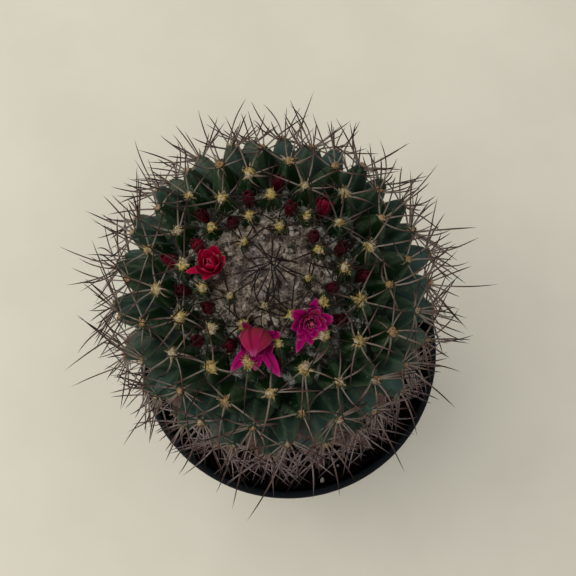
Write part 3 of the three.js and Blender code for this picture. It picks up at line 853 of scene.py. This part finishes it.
def makeSpines():
    # Every spine starts at its full spread and is raised towards its areole's axis until it clears the pot
    random = seeded(17)
    count = spine.last + 1 - spine.first
    number = np.repeat(np.arange(spine.first, spine.last + 1), len(spineFan))
    turn, length, spread, share, youngest, oldest = np.tile(np.array(spineFan, float).T, count)
    kept = (random.random(len(number)) < share) & (number >= youngest) & (number <= oldest)
    turn = np.radians(turn + random.normal(0, 13, len(turn)))
    grown = 1 - np.exp(-number / 22)
    spread = spread * (0.55 + 0.45 * grown) + random.normal(0, 6, len(spread))
    length = length * (0.62 + 0.38 * np.minimum(1, number / 30)) * random.uniform(0.82, 1.12, len(length))
    frames = tubercleFrames(number)
    northward = unit(frames.tip * [1, 1, 0])[:, 1]
    front, back = smoothStep(-northward, -0.3, 0.6), smoothStep(northward, 0.2, 0.8)
    # The oldest spines are worn shorter, most of all at the front, and those at the back are a little short
    worn = 0.15 * smoothStep(number, 66, 92) + 0.2 * smoothStep(number, 100, 140)
    kept &= (youngest < 56) | (random.random(len(number)) < 0.8 + 0.2 * front)
    length = length * (1 - worn * (0.2 + 0.8 * front)) * (1 - 0.14 * back)
    inward = column(0.9 * np.exp(-number / 8))
    axis, up, side = frames.axis, frames.up, frames.side
    sideways = swung(up, side, turn)
    root = frames.tip - 0.3 * axis + 0.9 * sideways * column(np.minimum(1, frames.spacing / 14))
    curve = spine.curve * random.normal(size=(3, len(turn), 1))
    bend = up * (0.06 + curve[0]) + axis * (0.07 + 0.8 * curve[1])
    bend = bend + side * curve[2] * column(1 + 0.9 * np.exp(-number / 20))
    for _ in range(spine.tries):
        direction = unit(swung(axis, sideways, np.radians(spread)) + frames.lift * inward)
        path = strandPath(root[:, None], direction[:, None], perShell(length), bend[:, None], perRow(25))
        caught = hitsPot(toPot(path)).any(1)
        spread = np.where(caught, spread - spine.lift, spread)
    kept &= ~caught & ~crossesBloom(path).any(1)
    thick = spine.young + (spine.radius - spine.young) * smoothStep(number, 12, 34)
    thick = thick * random.uniform(0.85, 1.12, len(number))
    root, direction, length, thick, bend = (part[kept] for part in (root, direction, length, thick, bend))
    rows, sides = spine.rows, spine.sides
    rings = strands(root, direction, length, thick, bend, spine.wave, rows, sides, 0.94, spine.power)
    dark = np.clip(1.9 - number / 19 + 0.9 * (random.random(len(number)) < 0.13), 0, 1)
    age, dark = perShell(number[kept] / spiral.last), perShell(dark[kept])
    groups = [(toPot(rings), {"along": perRow(rows), "age": age, "dark": dark}), drySpines()]
    makePiece("cactusSpines", groups, spineFinish("spineHorn"), ["cactus_stem"])


crownSpokes = form(count=26, roots=(6.0, 13.5), hub=(1.2, 1.2), meet=1.3, rise=6.0, radius=0.31, rows=9)


def makeCrownSpines():
    # The youngest spines lean in from a ring of roots and meet above the growing point
    random = seeded(29)
    count, level = crownSpokes.count, stem.crownRise - stem.crownDish
    angle = bearings(count, random.uniform(-0.3, 0.3, count))
    root = pointAt(random.uniform(*crownSpokes.roots, count), angle, level + 0.4)
    aim = crownSpokes.hub + crownSpokes.meet * random.normal(size=(count, 2))
    top = level + crownSpokes.rise * random.uniform(0.7, 1.15, count)
    way = np.concatenate([aim, column(top)], axis=1) - root
    length = np.linalg.norm(way, axis=1)
    arch = 0.2 * zAxis + 0.09 * random.normal(size=root.shape)
    rows, direction = crownSpokes.rows, way / length[:, None] + arch
    rings = strands(root, direction, length, crownSpokes.radius, -arch, 0.01, rows, 5, 0.7)
    marks = {"along": perRow(rows), "age": 0.02, "dark": 1.0}
    makePiece("crownSpines", [(toPot(rings), marks)], spineFinish("youngHorn"), ["crown_wool"])


tuft = form(first=6, last=140, radius=2.2, padHeight=0.45, padShare=0.85)
# Woolly rays, then fine hairs: how many on each tip, their radius, reach and sides
tuftKinds = [(8, 0.5, 0.75, 4), (26, 0.11, 0.8, 3)]


def makeAreoles():
    # A felted cushion on every tip, with thick woolly rays and fine hairs that lie out from it like a star
    random = seeded(23)
    number = np.arange(tuft.first, tuft.last + 1)
    frames = tubercleFrames(number)
    axis, spacing = frames.axis, frames.spacing
    size = tuft.radius * np.minimum(1, 0.4 + spacing / 20) * (1 - 0.4 * smoothStep(number, 32, 62))
    size = size * random.uniform(0.8, 1.15, len(size))
    deep = size * random.uniform(0.7, 1.0, len(size))
    half = np.stack([size, deep, tuft.padHeight * size], -1) * tuft.padShare
    crest = frames.tip + axis * column(0.1 + 0.043 * spacing)
    age = perShell(number / spiral.last)
    groups = [(toPot(lumps(crest, axis, half, 12, 6, 10, 0.45)), {"age": age})]
    for count, radius, reach, sides in tuftKinds:
        each = np.repeat(np.arange(len(number)), count)
        angle = random.uniform(0, 2 * np.pi, len(each))
        outward = swung(frames.side[each], frames.up[each], angle)
        direction = unit(outward + axis[each] * column(random.uniform(-0.1, 0.9, len(each))))
        root = crest[each] + outward * column(0.35 * size[each]) + 0.1 * axis[each]
        length = reach * size[each] * random.uniform(0.6, 1.35, len(each))
        bend = -0.2 * axis[each] + 0.25 * random.normal(size=root.shape)
        thick = radius * random.uniform(0.7, 1.2, len(each)) * size[each] / tuft.radius
        rays = strands(root, direction, length, thick, bend, 0.05, 4, sides, 0.75)
        groups.append((toPot(rays), {"age": age[each]}))
    makePiece("areoleTufts", groups, tuftFinish(), ["cactus_stem"])


crown = form(radius=11.0, thickness=6.0, lump=0.9, columns=130, fibres=1500, spread=10.8, fibreRadius=0.08)


def makeCrownFelt():
    # A lumpy cushion in the sunken crown, under a mat of loose curled hairs
    random = seeded(41)
    level = stem.crownRise - stem.crownDish
    reach, thick, count = crown.radius, crown.thickness, crown.fibres
    rim = np.radians(np.linspace(-60, 30, 8))
    under = [[1, level - thick], [reach * 0.6, level - thick]]
    rise = level - thick * 0.5 + thick * 0.55 * np.sin(rim)
    side = np.stack([reach * (0.94 + 0.06 * np.cos(rim)), rise], -1)
    share = np.linspace(0.97, 0.04, 44)
    top = np.stack([reach * share, level + 0.7 * np.sqrt(1 - share ** 2)], -1)
    pad = turned(np.concatenate([under, side, top]), crown.columns)
    lump = noises(pad, (1, 2.4, 9), (0.6, 1.0, 10), (0.3, 0.5, 12))
    pad[..., 2] += np.where(pad[..., 2] > level - 3, crown.lump * lump, 0)
    radius = crown.spread * np.sqrt(random.random(count))
    root = pointAt(radius, random.uniform(0, 2 * np.pi, count), level + 0.4)
    direction = unit(pointAt(1, random.uniform(0, 2 * np.pi, count), random.uniform(-0.1, 0.7, count)))
    bend = 0.5 * random.normal(size=root.shape) - 0.35 * zAxis
    length = random.uniform(1.2, 3.0, count)
    hairs = strands(root, direction, length, crown.fibreRadius, bend, 0.1, 4, 3, 0.5)
    # The last colour is painted shade for the gaps between the locks
    finish = woolFinish("crownWool", (0.6, 0.51, 0.48), (0.5, 0.43, 0.4), (0.03, 0.018, 0.014))
    groups = [(toPot(rings), {"age": 0.1}) for rings in (pad, hairs)]
    makePiece("crownFelt", groups, finish, ["crown_wool"])


# The wool sinks by eased steps, each from one radius to another by so many millimetres
wool = form(
    inner=9.0, outer=46.0, rows=160, columns=320, thickness=3.0, hairs=4200, hairBand=27, hairRadius=0.085,
    flocks=80, flockBand=(7, 29), budRoom=3.6,
    sink=((9, 14, 1.5), (13, 22, 2.0), (20, 34, 4.6), (34, 46, 5.0)),
)


def woolTop(radius, angle):
    # The tips' surface, sunk by the steps and roughened by three sizes of noise
    point, normal = tipsAt(np.arcsin(radius / stem.tipRadius), angle)
    sunk = 0.2 + sum(depth * smoothStep(radius, start, end) for start, end, depth in wool.sink)
    rough = noises(point, (1.9, 5.5, 9), (1.4, 2.6, 10), (0.75, 1.1, 11))
    return point + normal * column(rough - sunk), normal


def makeAxilWool():
    # One ragged sheet of wool, through which the tubercles rise, deeper the further it is from the crown
    random = seeded(47)
    # The last colour is painted shade for the gaps between the locks
    finish = woolFinish("axilWool", (0.62, 0.5, 0.39), (0.4, 0.42, 0.35), (0.016, 0.009, 0.005))
    radius = np.linspace(wool.outer, wool.inner, wool.rows)[:, None]
    radius, angle = np.broadcast_arrays(radius, bearings(wool.columns)[None])
    top, normal = woolTop(radius, angle)
    # The underside needs only every twelfth row
    under = (top - wool.thickness * normal)[::-1][:-1:12]
    sheet = np.concatenate([under, top])[None]
    age = np.concatenate([radius[::-1][:-1:12], radius])[None] / wool.outer
    count = wool.hairs
    radius = wool.inner + wool.hairBand * random.random(count) ** 1.1
    root, normal = woolTop(radius, random.uniform(0, 2 * np.pi, count))
    direction = unit(random.normal(size=root.shape) + 0.7 * normal)
    bend = 0.6 * random.normal(size=root.shape)
    length = random.uniform(1.5, 4.0, count)
    hairs = strands(root, direction, length, wool.hairRadius, bend, 0.12, 5, 3, 0.5)
    marks = {"age": perShell(radius / wool.outer)}
    makePiece("woolHairs", [(toPot(hairs), marks)], finish)
    count = wool.flocks
    radius = random.uniform(*wool.flockBand, count)
    spot, normal = woolTop(radius, random.uniform(0, 2 * np.pi, count))
    bud = axilFrames(np.array(budAxils))
    crests = bud.root + bud.axis * column(bud.depth)
    clear = np.linalg.norm(spot[:, None] - crests, axis=-1).min(1) > wool.budRoom
    spot, normal = spot[clear], normal[clear]
    size = random.uniform(0.35, 1.25, (len(spot), 1)) * random.uniform(0.6, 1.3, (len(spot), 3))
    tilt = unit(normal + 0.5 * random.normal(size=normal.shape))
    flocks = lumps(spot + 0.2 * normal, tilt, size, 53, 8, 12, 0.9)
    marks = {"age": 0.0, "white": perShell(random.uniform(0.0, 0.6, len(spot)))}
    makePiece("woolInAxils", [(toPot(sheet), {"age": age}), (toPot(flocks), marks)], finish)


# Blooms: each stands in the axil above a tubercle, and its whorls go from the outside in. A whorl has its
# number of petals, first bearing, length, width, and the angle from the axis at the petals' feet and points.
# The reaching petals stand out from them, and have the same values without the number
blooms = [
    form(
        name="crimsonBloom", node="flower_crimson", above=25, lean=(-7, 4), rise=1.4,
        throat=2.0, tones="crimson", style=0.3, ragged=7,
        whorls=[
            (5, 22, 7.0, 5.2, 50, 0), (5, 58, 6.6, 5.0, 44, -26), (4, 10, 5.6, 4.6, 30, -46),
            (3, 40, 4.6, 4.0, 14, -50),
        ],
        reaching=[(292, 7.4, 2.8, 62, 62), (352, 6.4, 3.2, 50, 40)],
    ),
    form(
        name="frontBloom", node="flower_front", above=27, lean=(0, -14), rise=0.8,
        throat=2.3, tones="magenta", style=0.5, ragged=6,
        whorls=[(5, 54, 6.6, 4.6, 54, 4), (5, 18, 6.2, 4.2, 44, -8), (5, 0, 5.4, 3.4, 30, -16)],
        reaching=[
            (68, 17.0, 8.4, 62, -118), (113, 17.4, 8.4, 62, -116), (150, 9.0, 5.0, 72, -30),
            (131, 6.8, 3.0, 84, 40), (30, 6.8, 4.2, 72, 60), (234, 11.2, 4.6, 60, 64),
            (274, 8.0, 4.6, 58, 58), (314, 12.2, 4.4, 58, 62),
        ],
    ),
    form(
        name="rightBloom", node="flower_right", above=24, lean=(-10, -19), rise=1.8,
        throat=2.1, tones="magenta", style=0.8, ragged=13,
        whorls=[(6, 85, 5.8, 4.6, 52, 60), (6, 118, 5.4, 4.2, 40, 44), (5, 100, 4.6, 3.4, 26, 24)],
        reaching=[
            (40, 8.4, 3.4, 56, 58), (197, 9.8, 3.4, 58, 68), (226, 6.4, 3.8, 56, 66),
            (330, 6.2, 4.2, 56, 60),
        ],
    ),
]
petal = form(tube=1.4, thickness=0.34, rows=16, columns=16, cup=0.1)


def petals(bearing, start, length, width, foot, point, throat, random):
    # Down the middle the angle from the axis turns evenly from foot to point, and the path is its running
    # sum. Width is w (1 - s^1.7)^0.95 (0.6 + 1.3 s), and the rims curl inwards by cup x^2
    start, length, width, foot, point = (
        np.broadcast_to(value, len(bearing))[:, None] for value in (start, length, width, foot, point)
    )
    share = np.linspace(0, 1, petal.rows)
    foot, point = np.radians(foot), np.radians(point)
    angle = foot + (point - foot) * share + 0.18 * random.normal(size=(len(bearing), 1)) * share ** 2
    outward = pointAt(1, bearing, 0)[:, None]
    across = np.cross(zAxis, outward)
    inner = swung(-outward, zAxis, angle)
    step = swung(zAxis, outward, angle) * (length / (petal.rows - 1))[..., None]
    path = np.cumsum(step, axis=1) - step
    path = path + outward * throat + zAxis * start[..., None]
    breadth = width * (1 - share ** 1.7) ** 0.95 * (0.6 + 1.3 * share) + 0.03
    turn = bearings(petal.columns)
    x = np.cos(turn) * breadth[..., None] / 2
    ripple = 0.14 * softNoise(path[:, :, None] + 9 * np.cos(turn)[:, None], 1.6, 15) * np.abs(np.cos(turn))
    z = np.sin(turn) * petal.thickness / 2 * (1 - 0.6 * share[:, None] ** 3)
    z = z + petal.cup * x ** 2 + ripple
    rings = path[:, :, None] + across[:, :, None] * x[..., None] + inner[:, :, None] * z[..., None]
    marks = {"along": share[None, :, None], "rim": np.abs(np.cos(turn)), "back": (np.sin(turn) < -0.2) * 1.0}
    marks["chance"] = perShell(random.random(len(bearing)))
    return rings, marks


def standing(frames, rings):
    # From a bloom's or bud's own frame, foot at its origin and Z along it, to the stem's and then the pot's
    basis = np.stack([frames.across, frames.back, frames.axis])
    return toPot(frames.root + rings @ basis)


def makeBloom(bloom, finish):
    random = seeded(bloom.above)
    frames = axilFrames(bloom.above, *bloom.lean)
    tall = float(frames.depth) + bloom.rise
    tube, throat = petal.tube, bloom.throat + 0.4
    mouth = [[throat, tall - 0.6], [1.2, tall - 1.0], [0.3, tall - 1.6]]
    cup = turned(rounded([[0.3, 0], [tube, 0], [tube, tall * 0.5], *mouth], 0.8), 20)
    groups = [(standing(frames, cup), {"rim": 0.5, "back": 1.0})]
    rows = [(first + 360 * np.arange(count) / count, *rest) for count, first, *rest in bloom.whorls]
    rows.insert(1, tuple(np.array(bloom.reaching, float).T))
    for level, (bearing, length, width, foot, point) in enumerate(rows):
        # The reaching petals, on level 1, keep to their values, and the others are drawn about theirs
        loose, count = level != 1, len(bearing)
        bearing = np.radians(bearing + bloom.ragged * loose * random.normal(size=count))
        length = length * random.uniform(1 - 0.1 * loose, 1 + 0.06 * loose, count)
        point = point + bloom.ragged * loose * random.normal(size=count)
        start, reach = tall - 1.5 + 0.3 * level, bloom.throat - 0.3 * level
        rings, marks = petals(bearing, start, length, width, foot, point, reach, random)
        groups.append((standing(frames, rings), marks))
    makePiece(bloom.name, groups, finish, [bloom.node])
    return frames, tall


stamen = form(count=26, turn=0.382, radius=0.11, knob=0.24, inner=0.5, outer=1.2, style=5.6, lobes=5)


def makeStamens(name, frames, tall, size, finish):
    # A brush of filaments with knobbed ends round a style that opens into five lobes
    random = seeded(61)
    count = stamen.count
    out = stamen.inner + stamen.outer * np.sqrt(np.arange(count) / count)
    root = pointAt(out, 2 * np.pi * np.arange(count) * stamen.turn, tall - 1.0)
    direction = unit(root * [0.16, 0.16, 0] + zAxis + 0.08 * random.normal(size=root.shape))
    length = random.uniform(2.0, 3.0, count) * size
    bend = 0.05 * random.normal(size=root.shape) + 1e-3
    filaments = strands(root, direction, length, stamen.radius, bend, 0.0, 4, 4, 0.2)
    ends = root + direction * column(length)
    knobs = lumps(ends, direction, np.full((count, 3), stamen.knob), 3, 4, 6, 0.1)
    foot, upright = (tall - 2.0) * zAxis[None], np.array([[0.02, 0.01, 1.0]])
    style = strands(foot, upright, stamen.style * size, 0.4, 0.02 * upright, 0, 5, 8, 0.1)
    lobeWay = unit(pointAt(1, bearings(stamen.lobes), 1.0))
    lobeRoot = (tall - 2.0 + 5.4 * size) * zAxis + 0 * lobeWay
    lobes = strands(lobeRoot, lobeWay, 0.9, 0.36, -0.3 * zAxis + 0 * lobeWay, 0, 5, 6, 0.5)
    parts = [(filaments, 0.2), (knobs, 0.9), (style, 0.45), (lobes, 0.5)]
    groups = [(standing(frames, rings), {"tone": tone}) for rings, tone in parts]
    makePiece(name, groups, finish)


def makeBlooms():
    finishes = {
        "crimson": petalFinish(
            "crimsonPetal", inside=(0.37, 0.0006, 0.034), back=(0.33, 0.0016, 0.036),
            flush=(0.36, 0.0008, 0.036), edge=(0.36, 0.045, 0.075), deep=(0.25, 0.0005, 0.015),
        ),
        "magenta": petalFinish(
            "magentaPetal", inside=(0.32, 0.0004, 0.105), back=(0.2, 0.024, 0.028),
            flush=(0.23, 0.0012, 0.042), edge=(0.34, 0.06, 0.17), deep=(0.12, 0.0002, 0.022),
        ),
    }
    pollen = stamenFinish()
    for bloom in blooms:
        frames, tall = makeBloom(bloom, finishes[bloom.tones])
        makeStamens(bloom.name + "Stamens", frames, tall, bloom.style, pollen)


budAxils = [26, 28, 29, 30, 31, 33, 34, 35, 36, 37, 38, 39, 40, 41, 42, 43, 44, 46]
buds = form(rise=1.5, radius=2.1, stalk=1.1, scales=5, scaleWidth=2.2, redness=0.8)
# Spent blooms among the buds, by axil: how much wider and taller they stand, in mm
spentBlooms = {33: (0.2, 1.2), 39: (0.5, 1.8), 46: (0.1, 0.6)}


def makeBuds():
    # A pointed egg on a stalk, wrapped in three whorls of scales
    finish = budFinish()
    random = seeded(71)
    count = buds.scales
    for index, number in enumerate(budAxils):
        frames = axilFrames(number)
        wider, taller = spentBlooms.get(number, (0.0, 0.0))
        tall = float(frames.depth) + buds.rise + taller
        stalk, radius = buds.stalk, buds.radius + wider
        profile = [[stalk, 0], [stalk, tall * 0.42], [radius * 0.9, tall * 0.7], [radius * 0.7, tall * 0.86]]
        egg = rounded([[0.3, 0], *profile, [0.1, tall * 0.97]], 1.6)
        red = 1.0 if number in spentBlooms else buds.redness * random.random()
        groups = [(standing(frames, turned(egg, 14)), {"rim": 0.0, "chance": red})]
        for level in range(3):
            bearing = bearings(count, 0.5 * level + 0.1 * random.normal(size=count))
            lean = -20.0 + 14 * (2 - level) * random.random()
            start, length = tall * (0.56 + 0.08 * level), tall * (0.4 - 0.03 * level)
            throat = radius * (0.93 - 0.12 * level)
            width = buds.scaleWidth
            rings, marks = petals(bearing, start, length, width, lean * 0.3, lean, throat, random)
            red = 1.0 if number in spentBlooms else buds.redness * random.random()
            scales = {"rim": marks["rim"][::2], "chance": red, "along": 0.5}
            groups.append((standing(frames, rings[:, ::2, ::2]), scales))
        makePiece(f"scalyBud{index + 1:02d}", groups, finish, [f"bud_{index + 1:02d}"])


# The floor, lights and sky, in metres and watts. The lights look at the axis at this height
floorEdge, lightAim = 3.0, 0.1
lights = [
    form(name="windowLight", place=(-0.88, 0.1, 0.92), size=1.9, power=11.8, colour=(1.0, 0.985, 0.955)),
    form(name="fillLight", place=(0.7, -0.9, 1.5), size=1.6, power=3.2, colour=(0.97, 0.98, 1.0)),
]
sky = form(colour=(0.955, 0.965, 0.985, 1.0), strength=0.6)


def makeStage():
    # A plain pale floor, a broad soft light from the upper left, a fill light and an even sky
    startFinish("paleFloor", Roughness=0.6)
    finish = endFinish(blend(patches(60, 3, 0.3, 0.7), (0.67, 0.625, 0.505), (0.71, 0.665, 0.54)))
    mesh = bpy.data.meshes.new("floor")
    corners = [(x * floorEdge, y * floorEdge, 0) for x, y in ((-1, -1), (1, -1), (1, 1), (-1, 1))]
    mesh.from_pydata(corners, [], [(0, 1, 2, 3)])
    mesh.materials.append(finish)
    floor = putUp("floor", mesh)
    for light in lights:
        data = bpy.data.lights.new(light.name, "AREA")
        data.shape = "DISK"
        data.size, data.energy, data.color = light.size, light.power, light.colour
        x, y, z = np.array(light.place) - [0, 0, lightAim]
        turn = (math.atan2(math.hypot(x, y), z), 0, math.atan2(y, x) + math.pi / 2)
        putUp(light.name, data, light.place, turn)
    world = bpy.data.worlds.new("evenSky")
    world.use_nodes = True
    background = world.node_tree.nodes["Background"].inputs
    background["Color"].default_value, background["Strength"].default_value = sky.colour, sky.strength
    bpy.context.scene.world = world
    bpy.context.scene.view_settings.view_transform = "Standard"


makeCamera()
makePot()
makeSoil()
makeFlesh()
makeSpines()
makeCrownSpines()
makeAreoles()
makeCrownFelt()
makeAxilWool()
makeBlooms()
makeBuds()
makeStage()
